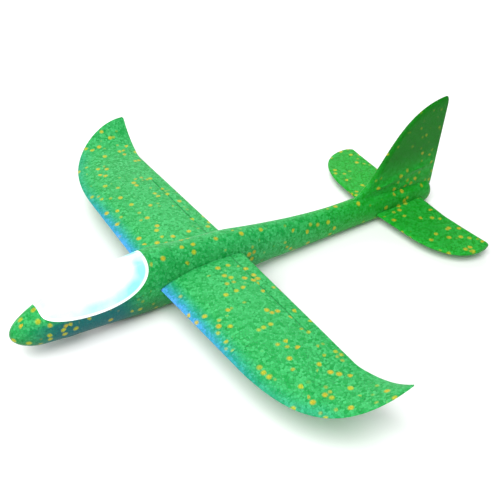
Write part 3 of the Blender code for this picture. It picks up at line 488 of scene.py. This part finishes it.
def add_painted_lamp_light(material, spot, tone, body):
    """Painted blue lamp light in the foam's colour: dark teal on the body under the canopy and
    pale blue along the wing's leading edges, speckled by the cells.
    """
    along, height = spot["Y"], spot["Z"]
    # Painted lamp light: the body's sides under the canopy are tinted dark teal.
    near = product(material, map_value(material, height, 0.002, 0.014),
                   map_value(material, height, 0.040, 0.032),
                   map_value(material, along, -0.236, -0.198),
                   map_value(material, along, -0.118, -0.150), 0.85)
    painted_lamp_light_under_canopy = blend_colour(material, near, body, (0.000, 0.110, 0.150))
    # Painted lamp light: pale blue on the wing near its leading edge, by the stored share.
    glow = node(material, "ShaderNodeAttribute", attribute_name="glow")
    speckle = map_value(material, tone, 0.0, 1.0, 0.72, 1.15, smooth=False)
    caught = product(material, glow.outputs["Fac"], speckle)
    side = blend_colour(material, caught, painted_lamp_light_under_canopy, (0.004, 0.300, 0.500))
    return blend_colour(material, product(material, caught, caught), side, (0.10, 0.38, 0.90))


def add_flecks(material, place, body):
    """Yellow and orange beads: about one cell in six, faded towards its rim."""
    spots = texture(material, "Voronoi", place, {"Scale": 175.0, "Randomness": 1.0},
                    voronoi_dimensions="3D", feature="F1")
    chance = parts_of(material, "Color", spots["Color"])
    fleck = blend_colour(material, chance["Green"], (0.42, 0.50, 0.018), (0.56, 0.42, 0.015))
    chosen = map_value(material, chance["Red"], 0.815, 0.825, smooth=False)
    inside = map_value(material, spots["Distance"], 0.58, 0.20)
    return blend_colour(material, product(material, chosen, inside, 0.92), body, fleck)


def bead_foam():
    """Green bead foam: cells 2.2 mm across, each of its own tone, with fine grooves between them
    darkened by painted shade, yellow and orange beads scattered through it, painted blue lamp
    light in it and painted shade along the wing's bending line."""
    material, shader = shader_of("bead_foam")
    place = object_place(material)
    cells = {"Scale": 450.0, "Randomness": 0.9}
    beads = texture(material, "Voronoi", place, cells, voronoi_dimensions="3D", feature="F1")
    edges = texture(material, "Voronoi", place, cells, voronoi_dimensions="3D",
                    feature="DISTANCE_TO_EDGE")
    tone = parts_of(material, "Color", beads["Color"])["Blue"]
    spot = parts_of(material, "XYZ", place)
    lit = add_painted_lamp_light(material, spot, tone, foam_tones_and_painted_shade(material, spot, tone))
    # Painted shade: a dark green line along the wing's pressed bending line.
    painted_crease_shade = node(material, "ShaderNodeAttribute", attribute_name="painted_crease_shade")
    lit = blend_colour(material, painted_crease_shade.outputs["Fac"], lit, (0.000, 0.170, 0.030))
    lit = add_flecks(material, place, lit)
    # Painted shade: the grooves between the cells are darkened in the colour; the same values
    # raise the relief.
    groove = map_value(material, edges["Distance"], 0.0, 0.09)
    with_painted_groove_shade = blend_colour(material, combine(material, "SUBTRACT", 1.0, groove), lit,
                           (0.62, 0.62, 0.62), blend_type="MULTIPLY")
    wire_up(material, with_painted_groove_shade, shader.inputs["Base Color"])
    rough = texture(material, "Noise", place, {"Scale": 900.0, "Detail": 3.0})["Fac"]
    height = combine(material, "ADD", groove, product(material, rough, 0.25))
    raise_surface(material, shader, height, 0.55, 0.00025)
    wire_up(material, map_value(material, rough, 0.3, 0.7, 0.42, 0.60),
            shader.inputs["Roughness"])
    shader.inputs["Specular IOR Level"].default_value = 0.14
    shader.inputs["Sheen Weight"].default_value = 0.22
    shader.inputs["Sheen Roughness"].default_value = 0.30
    shader.inputs["Sheen Tint"].default_value = (0.80, 1.0, 0.78, 1.0)
    return material


FOAM = bead_foam()
fuselage.data.materials.clear()
fuselage.data.materials.append(FOAM)
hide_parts("fuselage")
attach(fuselage, "glider")


# ---- wing -----------------------------------------------------------------------------------
# One foam moulding that is pushed through the body from the side and held by its fit. Its
# tips curl up, and a pressed line ahead of the trailing edge on each side lets the edge bend.
HALF_SPAN = 0.241
STRAIGHT_SPAN = 0.139
LEAD_SWEEP = 0.0063
TRAIL_SWEEP = 0.0018
KNEE_X = 0.188
TIP_ROUND = 0.0028
FLAT_SPAN = 0.132
TIP_SWEEP = 0.0955
TIP_LIFT = 0.0260
BEND_LINE_Y = -0.0335


def wing_edges(count):
    """Leading and trailing edges from the middle out. The leading one is straight, then a Bezier
    curve to the tip's corner; the trailing one is straight with a soft bend near the tip."""
    straight = np.linspace(0, STRAIGHT_SPAN, count // 2)
    lead_line = np.stack([straight, WING_LE_Y + LEAD_SWEEP * straight / STRAIGHT_SPAN], axis=1)
    start = lead_line[-1]
    tip = np.array((HALF_SPAN - 0.00066, WING_LE_Y + 0.0927))
    along = np.array((HALF_SPAN + 0.01645, start[1] + 0.0080))
    t = (1 - np.cos(np.pi * np.linspace(0, 1, count - count // 2 + 1)[1:])) / 2
    lead = np.vstack([lead_line, cubic((start, along, tip, tip), t)])
    trail_y = WING_LE_Y + WING_CHORD
    trail_x = np.concatenate([straight, STRAIGHT_SPAN + (tip[0] - STRAIGHT_SPAN) * t])
    knee = ease((trail_x - KNEE_X + 0.012) / 0.024)
    flat = trail_y - TRAIL_SWEEP * trail_x / KNEE_X
    slope = (tip[1] + TIP_ROUND - trail_y + TRAIL_SWEEP) / (tip[0] - KNEE_X)
    past = np.clip(trail_x - tip[0] + TIP_ROUND, 0, TIP_ROUND)
    corner = TIP_ROUND - np.sqrt(TIP_ROUND**2 - past**2)
    bent = trail_y - TRAIL_SWEEP + slope * (trail_x - KNEE_X) - corner
    return lead, np.stack([trail_x, flat * (1 - knee) + bent * knee], axis=1)


def mirrored(edge):
    """An edge drawn from the middle out, carried across to the other side as well."""
    return np.vstack([edge[:0:-1] * (-1, 1), edge])


def wing_points(count, around):
    """Stations along the span by shares of the chord over the top and back underneath.

    Height is the camber line plus or minus the half-thickness, raised by a power of the
    distance beyond the flat part, less a fine groove above the bending line.
    """
    lead, trail = (mirrored(edge) for edge in wing_edges(count))
    even = (1 - np.cos(np.pi * np.linspace(0, 1, around))) / 2
    fine = np.linspace(0.805, 0.865, 25)
    share, side = loop_around(np.unique(np.concatenate([even, fine])))
    spot = lead[:, None, :] + (trail - lead)[:, None, :] * share[None, :, None]
    chord = np.linalg.norm(trail - lead, axis=1)[:, None]
    camber, thick = wing_profile(share[None, :])
    out = np.abs(lead[:, 0:1])
    reach = np.clip((out - STRAIGHT_SPAN) / (HALF_SPAN - STRAIGHT_SPAN), 0, 1)
    thin = (1 - 0.6 * reach) * (1 - 0.12 * np.minimum(out / STRAIGHT_SPAN, 1))
    thin = thin * round_edge(chord, 0.030)
    flat = camber[0, 0] + (camber - camber[0, 0]) * np.minimum(chord / WING_CHORD, 1)
    x, y = spot[:, :, 0], spot[:, :, 1]
    past = (np.abs(x) - FLAT_SPAN) / (HALF_SPAN - FLAT_SPAN)
    past = past + 0.18 * ((y - WING_LE_Y) / TIP_SWEEP - 1)
    z = flat + side[None, :] * thick * thin + TIP_LIFT * np.clip(past, 0, None) ** 4.2
    line = np.exp(-(((y - BEND_LINE_Y) / 0.0007) ** 2)) * (side[None, :] > 0)
    line = line * ease((np.abs(x) - 0.036) / 0.006) * ease((0.142 - np.abs(x)) / 0.006)
    return np.dstack([x, y, z - 0.0007 * line])


def corner_places(item):
    """The places of a mesh's points, one row each."""
    places = np.empty(len(item.data.vertices) * 3)
    item.data.vertices.foreach_get("co", places)
    return places.reshape(-1, 3)


def store_values(item, name, values):
    """One number for each point of a mesh, which its material reads by name."""
    item.data.attributes.new(name, "FLOAT", "POINT").data.foreach_set("value", values)


def store_painted_wing_light_and_shade(item):
    """Stores the share of painted lamp light at each point: full at the leading edge by the body,
    fading over 18 mm of chord and outwards along the span. A second value marks the bending line
    for painted shade."""
    places = corner_places(item)
    out, y = np.abs(places[:, 0]), places[:, 1]
    curve = 0.022 * np.clip((out - 0.15) / 0.06, 0, 1) ** 2
    edge = WING_LE_Y + LEAD_SWEEP * out / STRAIGHT_SPAN + curve
    behind = np.clip((y - edge) / 0.018, 0, 1)
    along = 1 - 0.85 * ease((out - 0.03) / 0.17)
    store_values(item, "glow", (1 - behind) ** 2.2 * along)
    # Painted shade along the bending line, read by the foam's material.
    line = np.exp(-(((y - BEND_LINE_Y) / 0.0008) ** 2)) * ease((0.142 - out) / 0.006)
    store_values(item, "painted_crease_shade", 0.6 * line)


wing = skin("wing_foam", wing_points(150, 74))
store_painted_wing_light_and_shade(wing)
wing.data.materials.append(FOAM)
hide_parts("wing")
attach(wing, "wing_panel")


# ---- tailplane ------------------------------------------------------------------------------
# A flat foam board with a round front edge, pushed through the slot under the fin.
TAIL_HALF_SPAN = 0.1083
TAIL_STRAIGHT = 0.058


def tailplane_points(count):
    """Stations from tip to tip by shares of the chord once round the flat section."""
    half = TAIL_HALF_SPAN
    x = np.linspace(0, TAIL_STRAIGHT, count // 2)
    lead_line = np.stack([x, TAIL_LEAD_Y + 0.0047 * x / TAIL_STRAIGHT], axis=1)
    start = lead_line[-1]
    t = np.linspace(0, 1, count - count // 2 + 1)[1:]
    trail_x = np.concatenate([x, TAIL_STRAIGHT + (half - TAIL_STRAIGHT) * t])
    trail_y = TAIL_TRAIL_Y - 0.0035 * np.interp(trail_x, (0, 0.049, half), (0, 1, 0.08))
    trail = np.stack([trail_x, trail_y], axis=1)
    tip = trail[-1]
    controls = (start, (0.0955, start[1] + 0.0045), (half + 0.0105, tip[1] - 0.0335), tip)
    lead = mirrored(np.vstack([lead_line, cubic(controls, t)]))
    trail = mirrored(trail)
    share, signed = tail_loop()
    spot = lead[:, None, :] + (trail - lead)[:, None, :] * share[None, :, None]
    chord = np.linalg.norm(trail - lead, axis=1)[:, None]
    z = TAIL_Z + signed[None, :] * round_edge(chord, 0.012)
    return np.dstack([spot, z])


tailplane = skin("tailplane_foam", tailplane_points(110))
tailplane.data.materials.append(FOAM)
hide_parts("tailplane")
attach(tailplane, "tail_panel")


# ---- canopy ---------------------------------------------------------------------------------
# A thin blister of milky plastic glued to the foam along its edge. The lamps under it light
# it up almost white, and bluer where it curves down to its edge.
def canopy_points(rows, columns):
    """The body's outer skin and the same skin a wall inside it, joined along both edges.

    Each section is the body's oval read at angles from the low edge over the top.
    """
    y = np.linspace(CANOPY_Y[0] - 0.003, CANOPY_Y[1] + 0.003, rows)[:, None]
    width, centre, height = body_section(y)
    start = np.arcsin(np.clip((0.0269 - centre) / height, -1, 1))
    angle = start + (np.pi - 2 * start) * np.linspace(0, 1, columns)[None, :]

    def layer(inside):
        rise = np.sin(angle)
        x = np.sign(np.cos(angle)) * body_oval(width - inside, rise)
        z = centre + (height - inside) * rise
        return np.stack([x, np.broadcast_to(y, x.shape), z], axis=2)

    return np.concatenate([layer(0.0), layer(CANOPY_WALL)[:, ::-1]], axis=1)


def cap_ends(item):
    """Fills the open loops at the shell's two ends."""
    bm = bmesh.new()
    bm.from_mesh(item.data)
    loose = [edge for edge in bm.edges if edge.is_boundary]
    bmesh.ops.holes_fill(bm, edges=loose)
    bmesh.ops.recalc_face_normals(bm, faces=bm.faces)
    bm.to_mesh(item.data)
    bm.free()


def store_edge_distance(item):
    """Stores how far each point lies from the canopy's edge curve, by its nearest point."""
    place = corner_places(item)
    across = (1 - np.cos(np.pi * np.linspace(0, 1, 121))) / 2
    y = CANOPY_Y[0] + (CANOPY_Y[1] - CANOPY_Y[0]) * across
    z = canopy_rim(y, 0.0)
    width, centre, height = body_section(y)
    x = body_oval(width, (z - centre) / height)
    rim = np.stack([np.concatenate([x, -x]), np.tile(y, 2), np.tile(z, 2)], axis=1)
    apart = np.linalg.norm(place[:, None, :] - rim[None, :, :], axis=2).min(axis=1)
    store_values(item, "edge", apart)


def milky_plastic():
    """Translucent white plastic lit from inside, its glow given as emission: white, bluer in a
    band a little in from its edge.
    """
    material, shader = shader_of("milky_plastic")
    place = object_place(material)
    cloud = texture(material, "Noise", place, {"Scale": 55.0})
    edge = node(material, "ShaderNodeAttribute", attribute_name="edge").outputs["Fac"]
    aft = map_value(material, parts_of(material, "XYZ", place)["Y"], -0.190, -0.130)
    share = product(material, map_value(material, edge, 0.0022, 0.0038),
                    map_value(material, edge, 0.0185, 0.0075),
                    map_value(material, cloud["Fac"], 0.30, 0.70, 0.62, 1.10),
                    map_value(material, aft, 0.0, 1.0, 0.62, 1.0, smooth=False))
    light = blend_colour(material, share, (0.93, 1.0, 1.0), (0.33, 0.97, 0.93))
    wire_up(material, light, shader.inputs["Emission Color"])
    shader.inputs["Emission Strength"].default_value = 0.62
    body = blend_colour(material, share, (0.60, 0.66, 0.68), (0.16, 0.50, 0.52))
    wire_up(material, body, shader.inputs["Base Color"])
    fine = texture(material, "Noise", place, {"Scale": 1500.0})
    wire_up(material, map_value(material, fine["Fac"], 0.3, 0.7, 0.20, 0.32),
            shader.inputs["Roughness"])
    shader.inputs["Coat Weight"].default_value = 0.3
    shader.inputs["Coat Roughness"].default_value = 0.08
    return material


canopy = skin("canopy_shell", canopy_points(150, 90))
cap_ends(canopy)
carve(canopy, [canopy_window("canopy_trim", GAP)], "INTERSECT")
store_edge_distance(canopy)
canopy.data.materials.clear()
canopy.data.materials.append(milky_plastic())
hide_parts("canopy")
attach(canopy, "glider")


# ---- tub, canopy base and battery door ------------------------------------------------------
# White mouldings with a fine spark-eroded grain. The door is flush with the tub's underside
# and has moulded grip ribs.
def grained_plastic(name, colour, roughness):
    """Moulded plastic: one colour a little uneven, with a fine grain in its gloss and surface."""
    material, shader = shader_of(name)
    place = object_place(material)
    grain = texture(material, "Noise", place, {"Scale": 2600.0, "Detail": 2.0})["Fac"]
    flow = texture(material, "Noise", place, {"Scale": 140.0})["Fac"]
    deep = tuple(value * 0.86 for value in colour)
    wire_up(material, blend_colour(material, flow, deep, colour), shader.inputs["Base Color"])
    wire_up(material, map_value(material, grain, 0.3, 0.7, roughness - 0.06, roughness + 0.08),
            shader.inputs["Roughness"])
    raise_surface(material, shader, grain, 0.25, 0.00005)
    return material


def dress(material, *names):
    """Gives a CAD node's own object a material."""
    for name in names:
        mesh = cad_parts[name].data
        mesh.materials.clear()
        mesh.materials.append(material)


WHITE = grained_plastic("white_moulding", (0.84, 0.84, 0.81), 0.45)
dress(WHITE, "battery_tub", "canopy_base", "battery_door")


RIB_STEPS, RIB_SIDES = 25, 16


def grip_ribs(name, places, half_length, radius, base_z):
    """Low half-round ribs across the door: half circles swept along X, their ends drawn in by a
    quarter circle, one strip for each place."""
    along = np.linspace(-1, 1, RIB_STEPS)
    angle = np.linspace(0, 2 * np.pi, RIB_SIDES + 1)[:-1]
    shrink = np.sqrt(np.clip(1 - np.abs(along) ** 8, 0, 1))
    parts = []
    for y in places:
        x = np.broadcast_to((half_length * along)[:, None], (RIB_STEPS, RIB_SIDES))
        ring_y = y + radius * shrink[:, None] * np.cos(angle)[None, :]
        ring_z = base_z + 0.45 * radius * shrink[:, None] * np.sin(angle)[None, :]
        parts.append(skin(name, np.dstack([x, ring_y, ring_z])))
    bm = bmesh.new()
    for part in parts:
        bm.from_mesh(part.data)
    bm.to_mesh(parts[0].data)
    bm.free()
    for part in parts[1:]:
        bpy.data.objects.remove(part, do_unlink=True)
    return parts[0]


door_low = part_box("battery_door")[0]
ribs = grip_ribs("door_ribs", door_low[1] + 0.004 + 0.0016 * np.arange(6), 0.0045, 0.0005,
                 door_low[2] + 0.0001)
ribs.data.materials.append(WHITE)
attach(ribs, "door")


# ---- circuit board, lamps and resistor ------------------------------------------------------
# A green board with three domed lamps and one resistor, held on ledges in the tub.
def board_finish():
    """Solder mask over copper: dark green with lighter tracks in a woven pattern."""
    material, shader = shader_of("solder_mask")
    tracks = texture(material, "Brick", object_place(material), {
        "Scale": 260.0, "Mortar Size": 0.03, "Color1": (0.010, 0.150, 0.050, 1),
        "Color2": (0.015, 0.200, 0.070, 1), "Mortar": (0.030, 0.330, 0.110, 1)})
    wire_up(material, tracks["Color"], shader.inputs["Base Color"])
    wire_up(material, map_value(material, tracks["Fac"], 0, 1, 0.30, 0.42),
            shader.inputs["Roughness"])
    return material


def lamp_epoxy():
    """Clear epoxy with a lit chip in it: palest at the dome's top."""
    material, shader = shader_of("lamp_epoxy")
    lit = map_value(material, parts_of(material, "XYZ", object_place(material))["Z"], 0.028, 0.036)
    wire_up(material, blend_colour(material, lit, (0.05, 0.45, 0.85), (0.75, 0.97, 1.0)),
            shader.inputs["Emission Color"])
    shader.inputs["Emission Strength"].default_value = 2.0
    wire_up(material, blend_colour(material, lit, (0.55, 0.75, 0.85), (0.85, 0.95, 1.0)),
            shader.inputs["Base Color"])
    shader.inputs["Roughness"].default_value = 0.12
    return material


dress(board_finish(), "circuit_board")
dress(lamp_epoxy(), "led_front", "led_middle", "led_rear")
BLACK = grained_plastic("black_moulding", (0.030, 0.030, 0.032), 0.48)
dress(BLACK, "resistor", "switch_body", "switch_button")


# ---- cells, contacts and screws -------------------------------------------------------------
# Nickel-plated steel: rolled cells and springs with fine scratches, and turned screws.
def plated_steel():
    """Bright plated steel, its gloss broken by long fine scratches."""
    material, shader = shader_of("plated_steel")
    stretch = node(material, "ShaderNodeMapping")
    stretch.inputs["Scale"].default_value = (4000.0, 300.0, 4000.0)
    wire_up(material, object_place(material), stretch.inputs["Vector"])
    scratch = texture(material, "Noise", stretch.outputs["Vector"], {"Scale": 1.0})["Fac"]
    wire_up(material, map_value(material, scratch, 0.3, 0.7, 0.20, 0.40),
            shader.inputs["Roughness"])
    wire_up(material, blend_colour(material, scratch, (0.58, 0.58, 0.60), (0.74, 0.74, 0.75)),
            shader.inputs["Base Color"])
    shader.inputs["Metallic"].default_value = 1.0
    return material


dress(plated_steel(), "cell_front", "cell_middle", "cell_rear", "contact_plate",
      "contact_spring", "door_screw", "base_screw_1", "base_screw_2", "base_screw_3",
      "base_screw_4")


# ---- wires ----------------------------------------------------------------------------------
# Three short insulated leads between the contacts, the switch and the board.
dress(grained_plastic("red_insulation", (0.60, 0.03, 0.02), 0.45), "wire_positive")
dress(grained_plastic("black_insulation", (0.022, 0.022, 0.022), 0.45), "wire_negative")
dress(grained_plastic("blue_insulation", (0.03, 0.10, 0.55), 0.45), "wire_switch")


# ---- floor, light and camera ----------------------------------------------------------------
# A plain pale floor under a large soft light, with a smaller and weaker one from behind that
# lights the aft edges.
FLOOR_REACH = 3.0


def floor_sheet():
    """A flat square sheet that reaches three metres each way."""
    reach = FLOOR_REACH
    mesh = bpy.data.meshes.new("floor")
    mesh.from_pydata([(-reach, -reach, 0), (reach, -reach, 0), (reach, reach, 0),
                      (-reach, reach, 0)], [], [(0, 1, 2, 3)])
    material, shader = shader_of("floor_paint")
    shader.inputs["Base Color"].default_value = (0.92, 0.92, 0.92, 1)
    shader.inputs["Roughness"].default_value = 0.9
    mesh.materials.append(material)
    item = place_object("floor", mesh)


def soft_light(name, place, size, power):
    """A square area light aimed at the glider's middle."""
    lamp = bpy.data.lights.new(name, "AREA")
    lamp.size = size
    lamp.energy = power
    item = place_object(name, lamp)
    item.location = place
    item.rotation_euler = item.location.to_track_quat("Z", "Y").to_euler()


def studio_camera(azimuth, elevation, roll, distance, lens, centre, shift):
    """A camera on a sphere round centre. Its right vector is level, then both it and the up
    vector are turned by the roll."""
    a, e, r = np.radians((azimuth, elevation, roll))
    back = np.array((np.sin(a) * np.cos(e), -np.cos(a) * np.cos(e), np.sin(e)))
    right = np.array((np.cos(a), np.sin(a), 0.0))
    up = np.cross(back, right)
    turned_right = right * np.cos(r) + up * np.sin(r)
    turned_up = up * np.cos(r) - right * np.sin(r)
    camera = bpy.data.cameras.new("camera")
    camera.lens = lens
    camera.sensor_width = 36.0
    camera.shift_x, camera.shift_y = shift
    item = place_object("camera", camera)
    place = np.eye(4)
    place[:3, 0] = turned_right
    place[:3, 1] = turned_up
    place[:3, 2] = back
    place[:3, 3] = np.array(centre) + distance * back
    item.matrix_world = Matrix(place.tolist())
    bpy.context.scene.camera = item


floor_sheet()
soft_light("key_light", (0.42, -0.70, 1.38), 1.6, 38.0)
soft_light("back_light", (-1.2, 0.55, 0.95), 1.2, 17.0)
world = bpy.data.worlds.new("studio")
bpy.context.scene.world = world
world.use_nodes = True
background = world.node_tree.nodes["Background"]
background.inputs["Color"].default_value = (0.97, 0.98, 1.0, 1)
background.inputs["Strength"].default_value = 0.20
bpy.context.scene.view_settings.view_transform = "Standard"
studio_camera(55.68, 37.28, 1.54, 0.8083, 60.78, (0.0, 0.0, 0.0215), (-0.00077, -0.0026))
